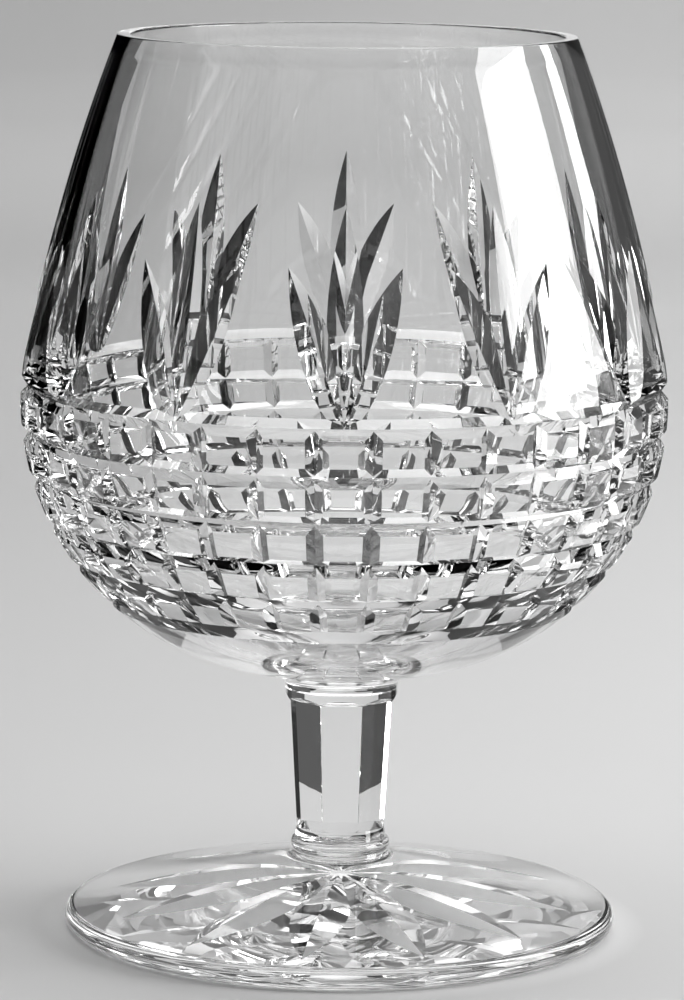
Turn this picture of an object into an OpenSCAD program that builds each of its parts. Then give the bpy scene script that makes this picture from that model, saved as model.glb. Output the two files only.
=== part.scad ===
// Brandy snifter of clear cut glass: a wide bowl on a short faceted stem,
// a low collar under the stem, and a spread foot with a star cut into its underside.
// Lengths are millimetres. The origin is the middle of the resting face, with +Z up.

/* [Bowl] */
// Height of the bowl from the flat under its button to the top of the lip
bowl_height = 97; // [90:1:120]
// Widest outside diameter of the bowl
belly_d = 95.6; // [92:0.2:104]
// Radius of the round lower half, seen from the side
belly_round = 40; // [37:1:43]
// Radius of the long curve that runs from the belly up to the lip
shoulder_round = 280; // [220:20:600]
// Outside diameter of the lip
rim_d = 67.2; // [60:0.2:74]
// Wall at the lip
rim_wall = 1.9; // [1.4:0.1:2.6]
// Width of the bevels at the two edges of the lip, which is ground flat
rim_bevel = 0.35; // [0.2:0.05:0.6]
// Wall at the widest point
belly_wall = 3.8; // [3:0.1:5]
// Glass under the bottom of the hollow
base_wall = 6.4; // [5:0.2:9]
// Radius of the fillet between the belly and its button
button_fillet = 3; // [1.5:0.5:6]

/* [Cutting on the bowl] */
// Number of fans round the shoulder
fan_count = 12; // [8:1:14]
// Number of splits in one fan
fan_splits = 3; // [1:2:3]
// Lean between neighbouring splits of a fan
fan_splay = 20; // [15:1:22]
// Length of the upright split of a fan
split_length = 35; // [28:1:38]
// Depth of a split at its middle
split_depth = 1.5; // [1:0.05:1.8]
// How far the wheel that cuts a split is drawn down past the upper edge of the blocks
split_draw = 4; // [2:0.5:5]
// Height of the block band's upper edge above the widest point
band_rise = 2.5; // [0:0.5:4]
// Depth of the block band's lower edge below the widest point
band_drop = 29; // [24:0.5:31]
// Rows of blocks
block_rows = 5; // [3:1:6]
// Columns of blocks under each fan
blocks_per_fan = 3; // [2:1:4]
// Depth of the level cuts between the rows
row_depth = 1.1; // [0.6:0.1:1.4]
// Depth of the upright cuts between the columns
column_depth = 0.9; // [0.5:0.1:1.2]

/* [Stem] */
// Length of the stem from the collar to the bowl's button
stem_length = 21; // [17:0.5:60]
// Diameter of the round top of the stem, which the button meets
stem_top_d = 16.7; // [16.5:0.1:18]
// Diameter of the round blank at the lower end of the stem, before the flats are cut
stem_foot_d = 14.4; // [14.1:0.1:15]
// Number of flats cut along the stem
facet_count = 8; // [8:1:12]
// Distance from the stem's axis to a flat, at the upper end
facet_top_r = 7.55; // [6.6:0.05:7.6]
// Distance from the stem's axis to a flat, at the lower end
facet_foot_r = 6.45; // [5.8:0.05:6.5]
// Uncut length at the top of the stem
facet_stop = 1.6; // [0.8:0.2:4]

/* [Collar] */
// Height of the collar
collar_height = 3.9; // [3.4:0.1:6]
// Diameter at the top of the collar
collar_top_d = 13.1; // [12:0.1:14]
// Diameter over the bead round the collar
collar_bead_d = 14.8; // [14.6:0.1:16]
// Radius of the bead, seen from the side
collar_bead_round = 1.1; // [0.9:0.1:1.2]

/* [Foot] */
// Diameter of the foot
foot_d = 82.4; // [74:0.2:96]
// Thickness of the foot's round edge
foot_edge = 3.4; // [2.6:0.2:5]
// Slope of the foot's top
foot_slope = 12; // [9:0.5:14]
// Diameter of the foot's boss, which the collar stands on
boss_d = 14.3; // [14:0.1:15]
// Radius of the fillet between the foot's top and its boss
boss_fillet = 1.3; // [1:0.1:4]
// Width of the flat ring that the glass rests on
rest_width = 4.5; // [3:0.5:8]
// Rise of the hollow underside at its middle
foot_hollow = 1.2; // [0.6:0.1:1.8]
// Number of rays in the star
ray_count = 12; // [8:1:14]
// Distance from the axis to the inner tip of a ray
ray_start = 1; // [0.6:0.2:4]
// Clear glass between the outer tip of a ray and the resting ring
ray_margin = 1; // [0.5:0.5:4]
// Depth of a ray at its middle
ray_depth = 2.1; // [1:0.1:2.3]

/* [Hidden] */
$fn = 96;
// Colour of the clear glass
glass_colour = [0.86, 0.89, 0.90, 0.6];
// How far a cutter runs past the face that it cuts
overrun = 1;
// How far a lens stands out of the face that it cuts
lens_overrun = 0.4;
// Segments of the large circle behind the shoulder's curve
shoulder_segments = 900;
// Half of the angle between the two sides of a cut round the blocks
cut_half_angle = 54;
// Half of the angle between the two sides of a split
split_half_angle = 61;
// Half of the angle between the two sides of a ray
ray_half_angle = 62;
// Length of a fan's outer split, as a share of the upright one
outer_split_share = 0.8;
// Turn of the bowl's blank from the middle of a fan, as a share of a column's turn
blank_turn_share = 0.2;
// Height of the bead's middle, as a share of the collar's height
bead_height_share = 0.32;
// Turn of the star's first ray, as a share of the turn from ray to ray
star_turn_share = 0.7;
// Slope of the run-out at the top of a flat
facet_run_out = 45;

// Heights of the seams, from the resting face up
foot_r = foot_d / 2;
foot_edge_r = foot_r - foot_edge / 2;
boss_r = boss_d / 2;
boss_fillet_r = boss_r + boss_fillet;
boss_z = foot_edge + (foot_edge_r - boss_fillet_r) * tan(foot_slope) + boss_fillet / cos(foot_slope);
stem_z = boss_z + collar_height;
bowl_z = stem_z + stem_length;

// Outline of the bowl, with heights measured from the flat under its button
button_r = stem_top_d / 2;
belly_offset = belly_d / 2 - belly_round;
button_reach = button_r + button_fillet - belly_offset;
belly_z = sqrt(pow(belly_round + button_fillet, 2) - pow(button_reach, 2));
belly_centre = [belly_offset, belly_z];
hollow_round = belly_round - belly_wall;
hollow_centre = [belly_offset, belly_z - belly_round + base_wall + hollow_round];
lip_middle = [(rim_d - rim_wall) / 2, bowl_height];

// Angle at which a belly's curve hands over to the shoulder's curve, which then
// passes the middle of the lip at the given distance outside it
function hand_over(centre, round_r, outside) =
    let (reach = shoulder_round - round_r,
         way = lip_middle - centre,
         along = (pow(shoulder_round - outside, 2) - pow(reach, 2) - way * way) / (2 * reach))
    atan2(way.y, way.x) - acos(along / norm(way));

function shoulder_centre(centre, round_r, turn) =
    centre - (shoulder_round - round_r) * [cos(turn), sin(turn)];

// Radius of a shoulder's curve at a height, from the middle of the curve
function curve_r(middle, height) = middle.x + sqrt(pow(shoulder_round, 2) - pow(height - middle.y, 2));

shoulder_turn = hand_over(belly_centre, belly_round, rim_wall / 2);
shoulder_middle = shoulder_centre(belly_centre, belly_round, shoulder_turn);
inside_turn = hand_over(hollow_centre, hollow_round, -rim_wall / 2);
inside_middle = shoulder_centre(hollow_centre, hollow_round, inside_turn);

// Tilt of the shoulder's outer face and its distance from the axis, at a height
function shoulder_tilt(height) = asin((height - shoulder_middle.y) / shoulder_round);
function shoulder_r(height) = curve_r(shoulder_middle, height);

// Corners of a notch that is cut to a depth into a round of the given radius
function notch(round_r, depth) =
    let (half_width = (depth + overrun) * tan(cut_half_angle))
    [[round_r - depth, 0], [round_r + overrun, half_width], [round_r + overrun, -half_width]];

band_top_turn = asin(band_rise / belly_round);
band_foot_turn = -asin(band_drop / belly_round);
column_count = fan_count * blocks_per_fan;

// Radius of the wheel that cuts a lens of a length and depth into a face of the given bend
function wheel_radius(length, depth, bend) = 1 / (2 * depth / pow(length / 2, 2) - bend);

// Pointed lens that a sharp-edged wheel cuts: its middle is on the face at the origin,
// its length runs along Z, and the face looks along +X
module lens_cut(length, depth, bend, half_angle) {
    wheel_r = wheel_radius(length, depth, bend);
    half_width = (depth + overrun) * tan(half_angle);
    intersection() {
        translate([wheel_r - depth, 0, 0])
            rotate([90, 0, 0])
                rotate_extrude()
                    polygon([[0, -half_width], [wheel_r - depth - overrun, -half_width], [wheel_r, 0],
                             [wheel_r - depth - overrun, half_width], [0, half_width]]);
        translate([-depth - overrun, -length, -length])
            cube([depth + overrun + lens_overrun, 2 * length, 2 * length]);
    }
}

// Half section of a belly with its shoulder, from the axis out to the curve
module vessel_section(centre, round_r, outside, top) {
    turn = hand_over(centre, round_r, outside);
    turn_z = centre.y + round_r * sin(turn);
    intersection() {
        union() {
            translate(centre)
                circle(round_r);
            translate([0, centre.y - round_r])
                square([centre.x, round_r]);
        }
        translate([0, centre.y - round_r])
            square([belly_d, min(2 * round_r, top - centre.y + round_r)]);
    }
    intersection() {
        translate(shoulder_centre(centre, round_r, turn))
            circle(shoulder_round, $fn = shoulder_segments);
        translate([0, turn_z])
            square([belly_d, top - turn_z]);
    }
}

// Half section of the button, which runs into the belly by a fillet
module button_section() {
    meet_share = belly_round / (belly_round + button_fillet);
    difference() {
        square([belly_offset + button_reach * meet_share, belly_z * (1 - meet_share)]);
        translate([button_r + button_fillet, 0])
            circle(button_fillet);
    }
}

// Glass that the bevel at one edge of the lip takes off, on the side that is given as 1 or -1
module bevel_section(edge_r, side) {
    reach = rim_bevel + overrun;
    translate([edge_r, bowl_height])
        polygon([[-side * reach, overrun], [side * overrun, -reach], [side * overrun, overrun]]);
}

// Half section of the bowl's wall with its level cuts and its flat lip
module bowl_section() {
    difference() {
        union() {
            vessel_section(belly_centre, belly_round, rim_wall / 2, bowl_height);
            translate([0, belly_z - belly_round])
                square([belly_offset, belly_round]);
            button_section();
            square([button_r, belly_z - belly_round]);
        }
        vessel_section(hollow_centre, hollow_round, -rim_wall / 2, bowl_height + overrun);
        bevel_section(shoulder_r(bowl_height), 1);
        bevel_section(curve_r(inside_middle, bowl_height), -1);
        for (row = [0 : block_rows])
            translate(belly_centre)
                rotate(band_top_turn + (band_foot_turn - band_top_turn) * row / block_rows)
                    polygon(notch(belly_round, row_depth));
    }
}

// Upright cut between two columns of blocks, following the belly's curve
module column_cut() {
    translate([belly_offset, 0, belly_z])
        rotate([90, 0, 0])
            rotate(band_foot_turn)
                rotate_extrude(angle = band_top_turn - band_foot_turn)
                    polygon(notch(belly_round, column_depth));
}

// One split of a fan, the given number of places to the side of the upright one
module split_cut(place) {
    lean = place * fan_splay;
    length = place == 0 ? split_length : split_length * outer_split_share;
    reach = length / 2 - split_draw;
    height = belly_z + band_rise + reach * cos(lean) * cos(shoulder_turn);
    tilt = shoulder_tilt(height);
    side_turn = atan(reach * sin(lean) / shoulder_r(height));
    bend = pow(cos(lean), 2) / shoulder_round + pow(sin(lean), 2) * cos(tilt) / shoulder_r(height);
    rotate(side_turn)
        translate([shoulder_r(height), 0, height])
            rotate([0, -tilt, 0])
                rotate([-lean, 0, 0])
                    lens_cut(length, split_depth, bend, split_half_angle);
}

// Blown bowl, cut on its outside with fans over a band of square blocks. The line where the
// turned blank starts and ends crosses the splits of a fan, and no cut runs along it
module bowl() {
    side_places = (fan_splits - 1) / 2;
    column_turn = 360 / column_count;
    color(glass_colour)
        translate([0, 0, bowl_z])
            difference() {
                rotate(blank_turn_share * column_turn)
                    rotate_extrude()
                        bowl_section();
                for (column = [0 : column_count - 1])
                    rotate((column + 0.5) * column_turn)
                        column_cut();
                for (fan = [0 : fan_count - 1], place = [-side_places : side_places])
                    rotate(fan * 360 / fan_count)
                        split_cut(place);
            }
}

// Side view of the glass that one flat takes off the stem
module facet_section() {
    facet_end = stem_length - facet_stop;
    run_out = stem_top_d;
    polygon([[facet_foot_r, 0], [facet_top_r, facet_end],
             [facet_top_r + run_out, facet_end + run_out / tan(facet_run_out)],
             [facet_top_r + run_out, -overrun], [facet_foot_r, -overrun]]);
}

// Short stem, round where it meets the bowl and cut into flats below
module stem() {
    color(glass_colour)
        translate([0, 0, stem_z])
            difference() {
                rotate_extrude()
                    polygon([[0, 0], [stem_foot_d / 2, 0], [button_r, stem_length - facet_stop],
                             [button_r, stem_length], [0, stem_length]]);
                for (facet = [0 : facet_count - 1])
                    rotate(facet * 360 / facet_count)
                        rotate([90, 0, 0])
                            linear_extrude(height = stem_top_d, center = true)
                                facet_section();
            }
}

// Collar of glass that joins the stem to the foot, with a soft bead round it
module collar() {
    color(glass_colour)
        translate([0, 0, boss_z])
            rotate_extrude() {
                polygon([[0, 0], [boss_r, 0], [collar_top_d / 2, collar_height], [0, collar_height]]);
                translate([collar_bead_d / 2 - collar_bead_round, collar_height * bead_height_share])
                    circle(collar_bead_round);
            }
}

// Half section of the foot: round edge, sloping top, boss and hollow underside
module foot_section() {
    rest_inner_r = foot_edge_r - rest_width;
    difference() {
        union() {
            translate([foot_edge_r, foot_edge / 2])
                circle(foot_edge / 2);
            polygon([[0, 0], [foot_edge_r, 0], [foot_edge_r, foot_edge],
                     [0, foot_edge + foot_edge_r * tan(foot_slope)]]);
            difference() {
                square([boss_fillet_r - boss_fillet * sin(foot_slope), boss_z]);
                translate([boss_fillet_r, boss_z])
                    circle(boss_fillet);
            }
        }
        polygon([[0, foot_hollow], [rest_inner_r, 0], [rest_inner_r, -overrun], [0, -overrun]]);
    }
}

// One ray of the star, from its inner tip to just inside the resting ring
module ray_cut() {
    rest_inner_r = foot_edge_r - rest_width;
    ray_end = rest_inner_r - ray_margin;
    ray_middle = (ray_start + ray_end) / 2;
    hollow_slope = atan(foot_hollow / rest_inner_r);
    translate([ray_middle, 0, foot_hollow * (1 - ray_middle / rest_inner_r)])
        rotate([0, 90 + hollow_slope, 0])
            lens_cut(ray_end - ray_start, ray_depth, 0, ray_half_angle);
}

// Spread foot with a star of rays cut into its underside
module foot() {
    color(glass_colour)
        difference() {
            rotate_extrude()
                foot_section();
            for (ray = [0 : ray_count - 1])
                rotate((ray + star_turn_share) * 360 / ray_count)
                    ray_cut();
        }
}

bowl();
stem();
collar();
foot();
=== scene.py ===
# Brandy snifter of clear cut crystal, in metres, standing on its foot at the origin with +Z up.
import math
import bmesh
import bpy
from mathutils import Matrix, Vector


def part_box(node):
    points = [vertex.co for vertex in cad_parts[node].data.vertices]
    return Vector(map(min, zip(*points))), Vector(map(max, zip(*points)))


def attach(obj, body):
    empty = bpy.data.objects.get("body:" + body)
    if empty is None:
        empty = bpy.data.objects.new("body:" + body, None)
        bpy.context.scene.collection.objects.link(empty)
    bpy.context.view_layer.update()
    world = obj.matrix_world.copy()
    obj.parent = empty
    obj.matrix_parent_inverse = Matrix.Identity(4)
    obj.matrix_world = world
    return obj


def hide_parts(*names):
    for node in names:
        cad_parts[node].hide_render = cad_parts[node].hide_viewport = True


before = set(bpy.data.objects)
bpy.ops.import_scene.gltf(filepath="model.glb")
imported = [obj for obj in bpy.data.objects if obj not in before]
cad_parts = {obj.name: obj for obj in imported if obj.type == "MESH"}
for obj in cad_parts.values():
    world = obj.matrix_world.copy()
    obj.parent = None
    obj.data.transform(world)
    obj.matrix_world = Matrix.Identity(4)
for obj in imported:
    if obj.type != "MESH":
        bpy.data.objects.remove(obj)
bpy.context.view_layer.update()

bpy.ops.object.select_all(action="DESELECT")

# Bowl. It is blown from lead crystal with a heavy base and a button under it, and its lip is ground
# flat. It is then cut on the outside with sharp stone wheels and polished: level and upright cuts make
# a band of square blocks, and fans of long splits stand on the band.
mm = 0.001
bowl_foot, bowl_top = (corner.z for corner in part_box("bowl"))
belly_r = 47.8 * mm
belly_round = 40 * mm
shoulder_round = 280 * mm
rim_r = 33.6 * mm
rim_wall = 1.9 * mm
lip_edge = 0.35 * mm
belly_wall = 3.8 * mm
base_wall = 6.4 * mm
button_r = 8.35 * mm
button_fillet = 3 * mm
round_segments = 360

band_rise = 2.5 * mm
band_drop = 29 * mm
block_rows = 5
row_depth = 1.1 * mm
block_columns = 36
column_depth = 0.9 * mm
fan_count = 12
fan_splay = math.radians(20)
split_length = 35 * mm
outer_split_share = 0.8
split_depth = 1.5 * mm
split_draw = 4 * mm
cut_slope = math.tan(math.radians(54))
split_slope = math.tan(math.radians(61))
overrun = 0.3 * mm
weld = 0.001 * mm


def start_line(name, x, z, y=0):
    """A new mesh of one point, left in edit mode to be drawn on."""
    bpy.ops.object.select_all(action="DESELECT")
    bpy.ops.mesh.primitive_plane_add(size=mm)
    bpy.context.object.name = name
    bpy.ops.object.mode_set(mode="EDIT")
    bpy.ops.mesh.merge(type="CENTER")
    bpy.ops.transform.translate(value=(x, y, z))
    return bpy.context.object


def last_point():
    """Place of the point that the line has reached."""
    mesh = bmesh.from_edit_mesh(bpy.context.edit_object.data)
    return next(point.co.copy() for point in mesh.verts if point.select)


def line_to(x, z, y=0):
    """Extrudes the line straight to a new point."""
    bpy.ops.mesh.extrude_region_move(TRANSFORM_OT_translate={"value": Vector((x, y, z)) - last_point()})


def arc_by(centre, turn, steps):
    """Extrudes the line along an arc about a centre, given as (x, z), anticlockwise for a positive turn."""
    bpy.ops.mesh.spin(steps=steps, angle=turn, center=(centre.x, 0, centre.y), axis=(0, 1, 0))


def on_round(centre, radius, turn):
    """Point of a round, as (x, z)."""
    return centre + radius * Vector((math.cos(turn), math.sin(turn)))


def turn_round(segments):
    """Turns the drawn half section round the axis into a closed body."""
    bpy.ops.object.mode_set(mode="OBJECT")
    bpy.ops.object.modifier_add(type="SCREW")
    screw = bpy.context.object.modifiers[-1]
    screw.steps = screw.render_steps = segments
    screw.use_merge_vertices = True
    screw.merge_threshold = weld
    bpy.ops.object.modifier_apply(modifier=screw.name)
    bpy.ops.object.mode_set(mode="EDIT")
    bpy.ops.mesh.select_all(action="SELECT")
    bpy.ops.mesh.remove_doubles(threshold=weld)
    bpy.ops.mesh.normals_make_consistent(inside=False)
    bpy.ops.object.mode_set(mode="OBJECT")


def sharp_tool(name, apex, base, half_width, centre, turn, steps):
    """A sharp wheel's path: a triangle across the plane y = 0, swept in that plane about a centre."""
    tool = start_line(name, apex.x, apex.y)
    line_to(base.x, base.y, half_width)
    line_to(base.x, base.y, -half_width)
    bpy.ops.mesh.select_all(action="SELECT")
    bpy.ops.mesh.edge_face_add()
    bpy.ops.mesh.spin(steps=steps, angle=turn, center=(centre.x, 0, centre.y), axis=(0, 1, 0))
    bpy.ops.mesh.select_all(action="SELECT")
    bpy.ops.mesh.normals_make_consistent(inside=False)
    bpy.ops.object.mode_set(mode="OBJECT")
    return tool


def lens_tool(name, length, depth, bend, slope):
    """The wheel's path for one long split: its middle is at the origin of a face that looks along +X."""
    wheel_r = 1 / (2 * depth / (length / 2) ** 2 - bend)
    swing = math.asin((length / 2 + mm) / wheel_r)
    centre = Vector((wheel_r - depth, 0))
    start = math.pi + swing
    apex = on_round(centre, wheel_r, start)
    base = on_round(centre, wheel_r - depth - overrun, start)
    return sharp_tool(name, apex, base, (depth + overrun) * slope, centre, -2 * swing, 48)


def copy_round(tool, count, first_turn):
    """Turns a tool about the axis to its first place and copies it round the glass."""
    pitch = 2 * math.pi / count
    tool.matrix_world = Matrix.Rotation(first_turn, 4, "Z") @ tool.matrix_world
    bpy.ops.object.transform_apply(location=True, rotation=True, scale=True)
    bpy.ops.object.mode_set(mode="EDIT")
    bpy.ops.mesh.select_all(action="SELECT")
    bpy.ops.mesh.spin(steps=count - 1, dupli=True, angle=pitch * (count - 1), center=(0, 0, 0),
                      axis=(0, 0, 1))
    bpy.ops.object.mode_set(mode="OBJECT")


def cut_with(piece, tool):
    """Takes the tool's path out of the glass."""
    bpy.ops.object.select_all(action="DESELECT")
    bpy.context.view_layer.objects.active = piece
    bpy.ops.object.modifier_add(type="BOOLEAN")
    wheel = piece.modifiers[-1]
    wheel.operation = "DIFFERENCE"
    wheel.solver = "MANIFOLD"
    wheel.object = tool
    bpy.ops.object.modifier_apply(modifier=wheel.name)
    bpy.data.objects.remove(tool)


belly_x = belly_r - belly_round
button_reach = button_r + button_fillet - belly_x
belly = Vector((belly_x, bowl_foot + math.sqrt((belly_round + button_fillet) ** 2 - button_reach**2)))
hollow_round = belly_round - belly_wall
hollow = Vector((belly_x, belly.y - belly_round + base_wall + hollow_round))
lip = Vector((rim_r - rim_wall / 2, bowl_top))


def shoulder(centre, round_r, outside):
    """The long curve from a belly up to the lip: the angle at which it starts, and its centre."""
    arm = shoulder_round - round_r
    way = lip - centre
    along = ((shoulder_round - outside) ** 2 - arm**2 - way.length_squared) / (2 * arm)
    start = math.atan2(way.y, way.x) - math.acos(along / way.length)
    return start, on_round(centre, -arm, start)


def lip_turn(middle, edge_r):
    """Angle at which a shoulder's curve ends and the small round of the lip's edge begins."""
    return math.asin((bowl_top - lip_edge - middle.y) / edge_r)


outer_start, outer_middle = shoulder(belly, belly_round, rim_wall / 2)
inner_start, inner_middle = shoulder(hollow, hollow_round, -rim_wall / 2)
outer_end = lip_turn(outer_middle, shoulder_round - lip_edge)
inner_end = lip_turn(inner_middle, shoulder_round + lip_edge)
outer_lip = on_round(outer_middle, shoulder_round - lip_edge, outer_end)
inner_lip = on_round(inner_middle, shoulder_round + lip_edge, inner_end)

band_top_turn = math.asin(band_rise / belly_round)
band_foot_turn = -math.asin(band_drop / belly_round)
cut_bottom_r = belly_round - row_depth
spread = 1 + cut_slope**2
rise = (math.sqrt(cut_bottom_r**2 + spread * (belly_round**2 - cut_bottom_r**2)) - cut_bottom_r) / spread
cut_half_turn = math.asin(cut_slope * rise / belly_round)

cut_bowl = start_line("cut_bowl", 0, bowl_foot)
line_to(button_r / 2, bowl_foot)
line_to(button_r, bowl_foot)
button_round = Vector((button_r + button_fillet, bowl_foot))
fillet_turn = math.atan2(belly.y - bowl_foot, belly.x - button_round.x)
arc_by(button_round, fillet_turn - math.pi, 10)
reached = fillet_turn - math.pi
for row in range(block_rows + 1):
    cut_turn = band_foot_turn + (band_top_turn - band_foot_turn) * row / block_rows
    arc_by(belly, cut_turn - cut_half_turn - reached, 24 if row == 0 else 4)
    line_to(*on_round(belly, cut_bottom_r, cut_turn))
    reached = cut_turn + cut_half_turn
    line_to(*on_round(belly, belly_round, reached))
arc_by(belly, outer_start - reached, 6)
arc_by(outer_middle, outer_end - outer_start, 14)
arc_by(outer_lip, math.pi / 2 - outer_end, 5)
line_to(inner_lip.x, bowl_top)
arc_by(inner_lip, math.pi / 2 + inner_end, 5)
arc_by(inner_middle, inner_start - inner_end, 14)
arc_by(hollow, -math.pi / 2 - inner_start, 60)
line_to(belly_x / 2, hollow.y - hollow_round)
line_to(0, hollow.y - hollow_round)
turn_round(round_segments)

column_apex = on_round(belly, belly_round - column_depth, band_foot_turn)
column_base = on_round(belly, belly_round + overrun, band_foot_turn)
column_half_width = (column_depth + overrun) * cut_slope
column_tool = sharp_tool("column_tool", column_apex, column_base, column_half_width, belly,
                         band_top_turn - band_foot_turn, 40)
copy_round(column_tool, block_columns, math.pi / block_columns)
cut_with(cut_bowl, column_tool)

for side in (-1, 0, 1):
    lean = side * fan_splay
    length = split_length * outer_split_share if side else split_length
    reach = length / 2 - split_draw
    height = belly.y + band_rise + reach * math.cos(lean) * math.cos(outer_start)
    tilt = math.asin((height - outer_middle.y) / shoulder_round)
    face_r = outer_middle.x + shoulder_round * math.cos(tilt)
    bend = math.cos(lean) ** 2 / shoulder_round + math.sin(lean) ** 2 * math.cos(tilt) / face_r
    split_tool = lens_tool("split_tool", length, split_depth, bend, split_slope)
    split_tool.matrix_world = (Matrix.Translation((face_r, 0, height))
                               @ Matrix.Rotation(-tilt, 4, "Y")
                               @ Matrix.Rotation(-lean, 4, "X"))
    copy_round(split_tool, fan_count, math.atan(reach * math.sin(lean) / face_r))
    cut_with(cut_bowl, split_tool)


def add_node(material, kind, values, **links):
    """A new node with its values set, and each named input taken from another node's output."""
    node = material.node_tree.nodes.new(kind)
    for key, value in values.items():
        if key in node.inputs:
            node.inputs[key].default_value = value
        else:
            setattr(node, key, value)
    for key, output in links.items():
        material.node_tree.links.new(output, node.inputs[key.replace("_", " ")])
    return node


def crystal(name, streak_scale, streak_height, tint):
    """Clear polished crystal: a trace of tint, streaks from the working, and a soft polish."""
    material = bpy.data.materials.new(name)
    material.use_nodes = True
    material.node_tree.nodes.clear()
    place = add_node(material, "ShaderNodeTexCoord", {})
    streak_place = add_node(material, "ShaderNodeMapping", {"Scale": streak_scale},
                            Vector=place.outputs["Object"])
    streaks = add_node(material, "ShaderNodeTexNoise", {"Scale": 1, "Detail": 1.5, "Roughness": 0.4},
                       Vector=streak_place.outputs["Vector"])
    polish = add_node(material, "ShaderNodeTexNoise", {"Scale": 220, "Detail": 3},
                      Vector=place.outputs["Object"])
    colour = add_node(material, "ShaderNodeValToRGB", {}, Fac=streaks.outputs["Fac"])
    colour.color_ramp.elements[0].color = (*tint, 1)
    colour.color_ramp.elements[1].color = (1, 1, 1, 1)
    rough = add_node(material, "ShaderNodeMapRange", {"To Min": 0, "To Max": 0.02},
                     Value=polish.outputs["Fac"])
    waves = add_node(material, "ShaderNodeBump", {"Strength": 1, "Distance": streak_height},
                     Height=streaks.outputs["Fac"])
    glass = add_node(material, "ShaderNodeBsdfPrincipled", {"IOR": 1.545, "Transmission Weight": 1},
                     Base_Color=colour.outputs["Color"], Roughness=rough.outputs["Result"],
                     Normal=waves.outputs["Normal"])
    add_node(material, "ShaderNodeOutputMaterial", {}, Surface=glass.outputs["BSDF"])
    return material


seam_reach = 0.01 * mm
smooth_angle = math.radians(25)
seam_glass = bpy.data.materials.new("fused_seam")
seam_glass.use_nodes = True
seam_glass.node_tree.nodes.clear()
clear_seam = add_node(seam_glass, "ShaderNodeBsdfTransparent", {})
add_node(seam_glass, "ShaderNodeOutputMaterial", {}, Surface=clear_seam.outputs["BSDF"])


def finish_glass(piece, material, seams, node):
    """Gives a piece its glass, leaves its fused seams clear, smooths its curves and seats it."""
    piece.data.materials.clear()
    piece.data.materials.append(material)
    piece.data.materials.append(seam_glass)
    for face in piece.data.polygons:
        fused = any(abs(face.center.z - seam) < seam_reach for seam in seams)
        face.material_index = 1 if fused and abs(face.normal.z) > 0.999 else 0
    bpy.ops.object.select_all(action="DESELECT")
    piece.select_set(True)
    bpy.context.view_layer.objects.active = piece
    bpy.ops.object.shade_smooth_by_angle(angle=smooth_angle)
    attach(piece, "root")
    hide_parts(node)


bowl_crystal = crystal("bowl_crystal", (160, 160, 4), 0.0015 * mm, (0.975, 0.978, 0.978))
finish_glass(cut_bowl, bowl_crystal, [bowl_foot], "bowl")

# Stem. A short solid drop of the same crystal, fused to the bowl's button while hot. It stays
# round at its top, and eight long flats are ground down it and polished.
stem_foot, stem_top = (corner.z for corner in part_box("stem"))
stem_blank_r = 7.2 * mm
flat_count = 8
flat_top_r = 7.55 * mm
flat_foot_r = 6.45 * mm
flat_stop = 1.6 * mm
flat_top = stem_top - flat_stop

faceted_stem = start_line("faceted_stem", 0, stem_foot)
line_to(stem_blank_r / 2, stem_foot)
line_to(stem_blank_r, stem_foot)
line_to(button_r, flat_top)
line_to(button_r, stem_top)
line_to(button_r / 2, stem_top)
line_to(0, stem_top)
turn_round(round_segments)
for flat in range(flat_count):
    flat_tool = start_line("flat_tool", flat_foot_r, stem_foot, -button_r)
    line_to(flat_top_r, flat_top, -button_r)
    line_to(flat_top_r + button_r, flat_top + button_r, -button_r)
    line_to(flat_top_r + button_r, stem_foot - mm, -button_r)
    line_to(flat_foot_r, stem_foot - mm, -button_r)
    bpy.ops.mesh.select_all(action="SELECT")
    bpy.ops.mesh.edge_face_add()
    bpy.ops.mesh.extrude_region_move(TRANSFORM_OT_translate={"value": (0, 2 * button_r, 0)})
    bpy.ops.mesh.select_all(action="SELECT")
    bpy.ops.mesh.normals_make_consistent(inside=False)
    bpy.ops.object.mode_set(mode="OBJECT")
    flat_tool.matrix_world = Matrix.Rotation(flat * 2 * math.pi / flat_count, 4, "Z")
    bpy.ops.object.transform_apply(location=True, rotation=True, scale=True)
    cut_with(faceted_stem, flat_tool)
stem_crystal = crystal("stem_crystal", (300, 300, 30), 0.006 * mm, (0.993, 0.994, 0.994))
finish_glass(faceted_stem, stem_crystal, [stem_foot, stem_top], "stem")

# Collar. A small gather of crystal that joins the stem to the foot. It is pressed into a low cone
# with a soft bead round it, and is left as the fire polished it.
collar_foot, collar_top = (corner.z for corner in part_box("collar"))
collar_foot_r = 7.15 * mm
collar_top_r = 6.55 * mm
bead_r = 7.4 * mm
bead_round = 1.1 * mm
bead_height_share = 0.32

bead = Vector((bead_r - bead_round, collar_foot + (collar_top - collar_foot) * bead_height_share))
taper = math.atan((collar_foot_r - collar_top_r) / (collar_top - collar_foot))
cone_r = collar_foot_r + (collar_top_r - collar_foot_r) * bead_height_share
cone_way = (cone_r - bead.x) * math.cos(taper)
bead_half_turn = math.acos(cone_way / bead_round)
beaded_collar = start_line("beaded_collar", 0, collar_foot)
line_to(collar_foot_r / 2, collar_foot)
line_to(collar_foot_r, collar_foot)
line_to(*on_round(bead, bead_round, taper - bead_half_turn))
arc_by(bead, 2 * bead_half_turn, 12)
line_to(collar_top_r, collar_top)
line_to(collar_top_r / 2, collar_top)
line_to(0, collar_top)
turn_round(round_segments)
collar_crystal = crystal("collar_crystal", (180, 180, 120), 0.015 * mm, (0.993, 0.994, 0.994))
finish_glass(beaded_collar, collar_crystal, [collar_foot, collar_top], "collar")

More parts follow.
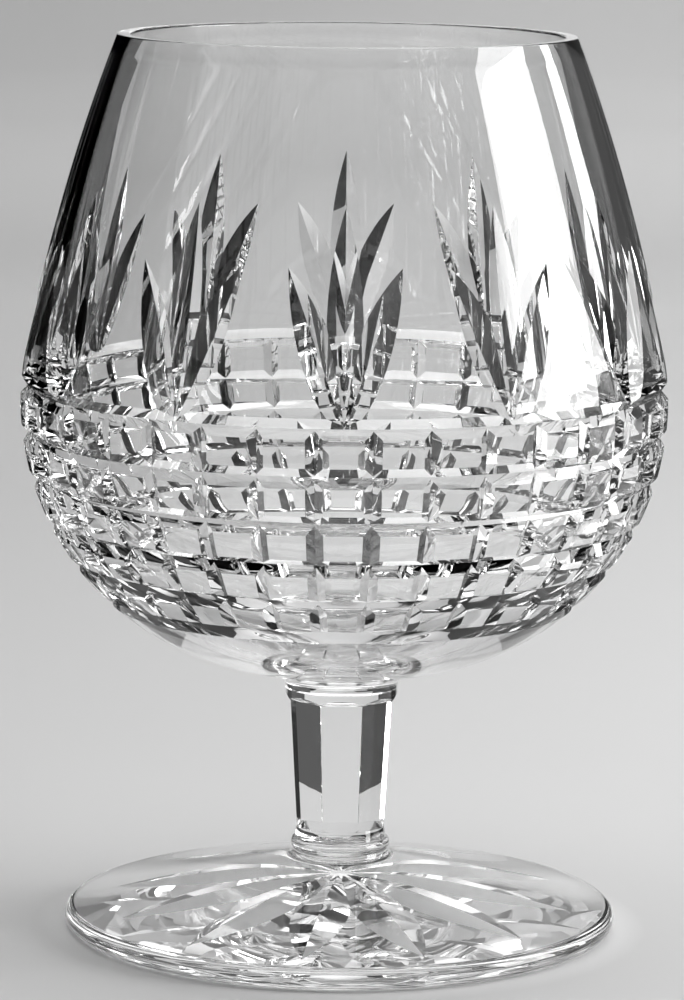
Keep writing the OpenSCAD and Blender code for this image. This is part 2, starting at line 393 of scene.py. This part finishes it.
# Foot. A disc of crystal spread hot from a gather under the collar, with a round edge and a low
# boss. Its underside is ground hollow inside a flat ring, and a star of long rays is cut into it.
foot_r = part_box("foot")[1].x
boss_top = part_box("foot")[1].z
foot_edge = 3.4 * mm
foot_slope = math.radians(12)
boss_fillet = 1.3 * mm
rest_width = 4.5 * mm
foot_hollow = 1.2 * mm
ray_count = 12
ray_start = 1 * mm
ray_margin = 1 * mm
ray_depth = 2.1 * mm
ray_slope = math.tan(math.radians(62))
star_turn_share = 0.7

edge_round = Vector((foot_r - foot_edge / 2, foot_edge / 2))
rest_inner_r = edge_round.x - rest_width
boss_round = Vector((collar_foot_r + boss_fillet, boss_top))
star_foot = start_line("star_foot", 0, foot_hollow)
line_to(rest_inner_r / 2, foot_hollow / 2)
line_to(rest_inner_r, 0)
line_to(edge_round.x, 0)
arc_by(edge_round, math.pi, 24)
top_end = on_round(boss_round, boss_fillet, -math.pi / 2 - foot_slope)
line_to((edge_round.x + top_end.x) / 2, (foot_edge + top_end.y) / 2)
line_to(*top_end)
arc_by(boss_round, foot_slope - math.pi / 2, 12)
line_to(collar_foot_r / 2, boss_top)
line_to(0, boss_top)
turn_round(round_segments)

ray_end = rest_inner_r - ray_margin
ray_middle = (ray_start + ray_end) / 2
hollow_slope = math.atan(foot_hollow / rest_inner_r)
ray_tool = lens_tool("ray_tool", ray_end - ray_start, ray_depth, 0, ray_slope)
ray_tool.matrix_world = (Matrix.Translation((ray_middle, 0, foot_hollow * (1 - ray_middle / rest_inner_r)))
                         @ Matrix.Rotation(math.pi / 2 + hollow_slope, 4, "Y"))
copy_round(ray_tool, ray_count, star_turn_share * 2 * math.pi / ray_count)
cut_with(star_foot, ray_tool)
foot_crystal = crystal("foot_crystal", (120, 120, 120), 0.012 * mm, (0.993, 0.994, 0.994))
finish_glass(star_foot, foot_crystal, [boss_top], "foot")

# Stage. A sweep of pale paper, wider on the right, runs between two white walls in a dark room. A soft
# light hangs above and one lights the far wall. A tall soft light with a strip beside it stands on the
# right, and two bent dark cards just out of view draw the edges.
paper_left = -0.4
paper_right = 0.9
paper_front = -1.2
paper_turn = 1.9
paper_round = 0.6
paper_drop = 0.1 * mm
wall_half_width = 0.9
wall_foot = 0.3
wall_top = 2.8
far_wall_place = paper_turn + paper_round + paper_drop


def widen(width):
    """Pulls the drawn line out to the right into a sheet."""
    bpy.ops.mesh.select_all(action="SELECT")
    bpy.ops.mesh.extrude_region_move(TRANSFORM_OT_translate={"value": (width, 0, 0)})
    bpy.ops.mesh.select_all(action="SELECT")
    bpy.ops.mesh.normals_make_consistent(inside=False)
    bpy.ops.object.mode_set(mode="OBJECT")
    bpy.ops.object.shade_smooth()


table = start_line("table", paper_left, -paper_drop, paper_front)
line_to(paper_left, -paper_drop, paper_turn)
bpy.ops.mesh.spin(steps=24, angle=-math.pi / 2, axis=(1, 0, 0),
                  center=(paper_left, paper_turn, paper_round - paper_drop))
widen(paper_right - paper_left)
far_wall = start_line("far_wall", -wall_half_width, wall_foot, far_wall_place)
line_to(-wall_half_width, wall_top, far_wall_place)
widen(2 * wall_half_width)
near_wall = start_line("near_wall", -wall_half_width, 0, paper_front)
line_to(-wall_half_width, wall_top, paper_front)
widen(2 * wall_half_width)
near_wall.visible_glossy = False
near_wall.visible_diffuse = False
near_wall.visible_shadow = False

# The paper's paint carries painted light and shade as well as its own pale grey: darker far off, lighter on
# the rise and walls, darker on the left and lighter on the right further back, and lighter under the foot.
paper_and_painted_light = bpy.data.materials.new("paper_and_painted_light")
paper_and_painted_light.use_nodes = True
paper_and_painted_light.node_tree.nodes.clear()
table_place = add_node(paper_and_painted_light, "ShaderNodeTexCoord", {})
depth_place = add_node(paper_and_painted_light, "ShaderNodeSeparateXYZ", {}, Vector=table_place.outputs["Object"])
# Painted light and shade: the paper is painted a little lighter some way back and darker far off, where the
# lamps' light falls off.
painted_falloff_depth = add_node(paper_and_painted_light, "ShaderNodeMapRange", {"From Min": 0, "From Max": 2.3},
                Value=depth_place.outputs["Y"])
paper_and_painted_falloff = add_node(paper_and_painted_light, "ShaderNodeValToRGB", {}, Fac=painted_falloff_depth.outputs["Result"])
paper_and_painted_falloff.color_ramp.elements[0].color = (0.66, 0.66, 0.66, 1)
paper_and_painted_falloff.color_ramp.elements[1].color = (0.38, 0.38, 0.38, 1)
for place, grey in ((0.18, 0.67), (0.35, 0.73), (0.51, 0.61), (0.69, 0.46)):
    paper_and_painted_falloff.color_ramp.elements.new(place).color = (grey, grey, grey, 1)
# Painted light: the paper is painted lighter where it rises into the sweep and on the walls above it.
painted_rise_share = add_node(paper_and_painted_light, "ShaderNodeMapRange", {"From Min": 0.1, "From Max": 0.3},
                     Value=depth_place.outputs["Z"])
rise_lit_paint = add_node(paper_and_painted_light, "ShaderNodeMixRGB", {"Color2": (0.85, 0.85, 0.85, 1)},
                       Fac=painted_rise_share.outputs["Result"], Color1=paper_and_painted_falloff.outputs["Color"])
# Painted light and shade: further back, the paper is painted darker on the left and lighter on the right,
# the side of the soft lights.
near_fade = add_node(paper_and_painted_light, "ShaderNodeMapRange", {"From Min": -0.05, "From Max": 0.4},
                     Value=depth_place.outputs["Y"])
aside = add_node(paper_and_painted_light, "ShaderNodeVectorMath", {"operation": "SCALE"},
                 Vector=table_place.outputs["Object"], Scale=near_fade.outputs["Result"])
aside_place = add_node(paper_and_painted_light, "ShaderNodeSeparateXYZ", {}, Vector=aside.outputs["Vector"])
painted_side_light = add_node(paper_and_painted_light, "ShaderNodeMapRange",
                     {"interpolation_type": "SMOOTHSTEP", "From Min": -0.2, "From Max": 0.2,
                      "To Min": 0.88, "To Max": 1.12}, Value=aside_place.outputs["X"])
side_lit_paint = add_node(paper_and_painted_light, "ShaderNodeVectorMath", {"operation": "SCALE"},
                      Vector=rise_lit_paint.outputs["Color"], Scale=painted_side_light.outputs["Result"])
# Painted light: the paper under the foot is painted lighter, standing in for the light the foot gathers
# onto it.
away = add_node(paper_and_painted_light, "ShaderNodeVectorMath", {"operation": "LENGTH"},
                Vector=table_place.outputs["Object"])
painted_pool_light = add_node(paper_and_painted_light, "ShaderNodeMapRange",
                    {"From Min": 0.036, "From Max": 0.046, "To Min": 1.4, "To Max": 1},
                    Value=away.outputs["Value"])
lit_paint = add_node(paper_and_painted_light, "ShaderNodeVectorMath", {"operation": "SCALE"},
                     Vector=side_lit_paint.outputs["Vector"], Scale=painted_pool_light.outputs["Result"])
matt = add_node(paper_and_painted_light, "ShaderNodeBsdfPrincipled", {"Roughness": 0.6},
                Base_Color=lit_paint.outputs["Vector"])
add_node(paper_and_painted_light, "ShaderNodeOutputMaterial", {}, Surface=matt.outputs["BSDF"])
for sheet in (table, far_wall, near_wall):
    sheet.data.materials.append(paper_and_painted_light)

card_height = 0.2
card_place = 0.16
wing_x = 0.056
wing_y = 0.03
# The cards are not lit by the lamps. Each glows a fixed tone of its own: black on the left, and a painted
# faint grey glow on the right. Only the glass shows them.
for name, inner, outer, grey in (("left_card", -0.07, -0.3, 0), ("right_card", 0.07, 0.22, 0.07)):
    card_glow_paint = bpy.data.materials.new(name + "_paint")
    card_glow_paint.use_nodes = True
    card_glow_paint.node_tree.nodes.clear()
    card_glow = add_node(card_glow_paint, "ShaderNodeEmission", {"Color": (grey, grey, grey, 1)})
    add_node(card_glow_paint, "ShaderNodeOutputMaterial", {}, Surface=card_glow.outputs["Emission"])
    card = start_line(name, math.copysign(wing_x, inner), 0, wing_y)
    line_to(inner, 0, card_place)
    line_to(outer, 0, card_place)
    bpy.ops.mesh.select_all(action="SELECT")
    bpy.ops.mesh.extrude_region_move(TRANSFORM_OT_translate={"value": (0, 0, card_height)})
    bpy.ops.object.mode_set(mode="OBJECT")
    card.data.materials.append(card_glow_paint)
    card.visible_camera = False
    card.visible_shadow = False
    card.visible_diffuse = False


def soft_light(name, place, aim, width, height, power):
    """A soft box that looks at a point."""
    bpy.ops.object.light_add(type="AREA", location=place)
    lamp = bpy.context.object
    lamp.name = name
    lamp.rotation_euler = (Vector(aim) - Vector(place)).to_track_quat("-Z", "Y").to_euler()
    lamp.data.shape = "RECTANGLE"
    lamp.data.size = width
    lamp.data.size_y = height
    lamp.data.energy = power


glass_middle = (0, 0, 0.1)
soft_light("side_box", (0.595, -0.073, 0.22), glass_middle, 0.32, 0.42, 3.8)
soft_light("side_strip", (0.535, 0.27, 0.22), glass_middle, 0.06, 0.42, 0.75)
soft_light("wall_light", (0, 1.2, 1.5), (0, 2.5, 1.3), 1.8, 0.6, 30)
sky_lean = (math.radians(-12), math.radians(4), 0)
bpy.ops.object.light_add(type="SUN", rotation=sky_lean)
sky_box = bpy.context.object
sky_box.name = "sky_box"
sky_box.data.angle = math.radians(80)
sky_box.data.energy = 2.0

scene = bpy.context.scene
studio = bpy.data.worlds.new("studio")
studio.use_nodes = True
studio.node_tree.nodes["Background"].inputs["Color"].default_value = (0.004, 0.004, 0.004, 1)
scene.world = studio

eye = (-0.0002, -0.686, 0.1726)
eye_pitch = math.radians(81.03)
eye_roll = math.radians(0.56)
eye_lens = 168.5
bpy.ops.object.camera_add(location=eye, rotation=(eye_pitch, 0, 0))
camera = bpy.context.object
camera.rotation_euler.rotate_axis("Z", eye_roll)
camera.data.lens = eye_lens
scene.camera = camera

scene.view_settings.view_transform = "Standard"
scene.cycles.max_bounces = 32
scene.cycles.transmission_bounces = 32
scene.cycles.glossy_bounces = 12
scene.cycles.transparent_max_bounces = 32
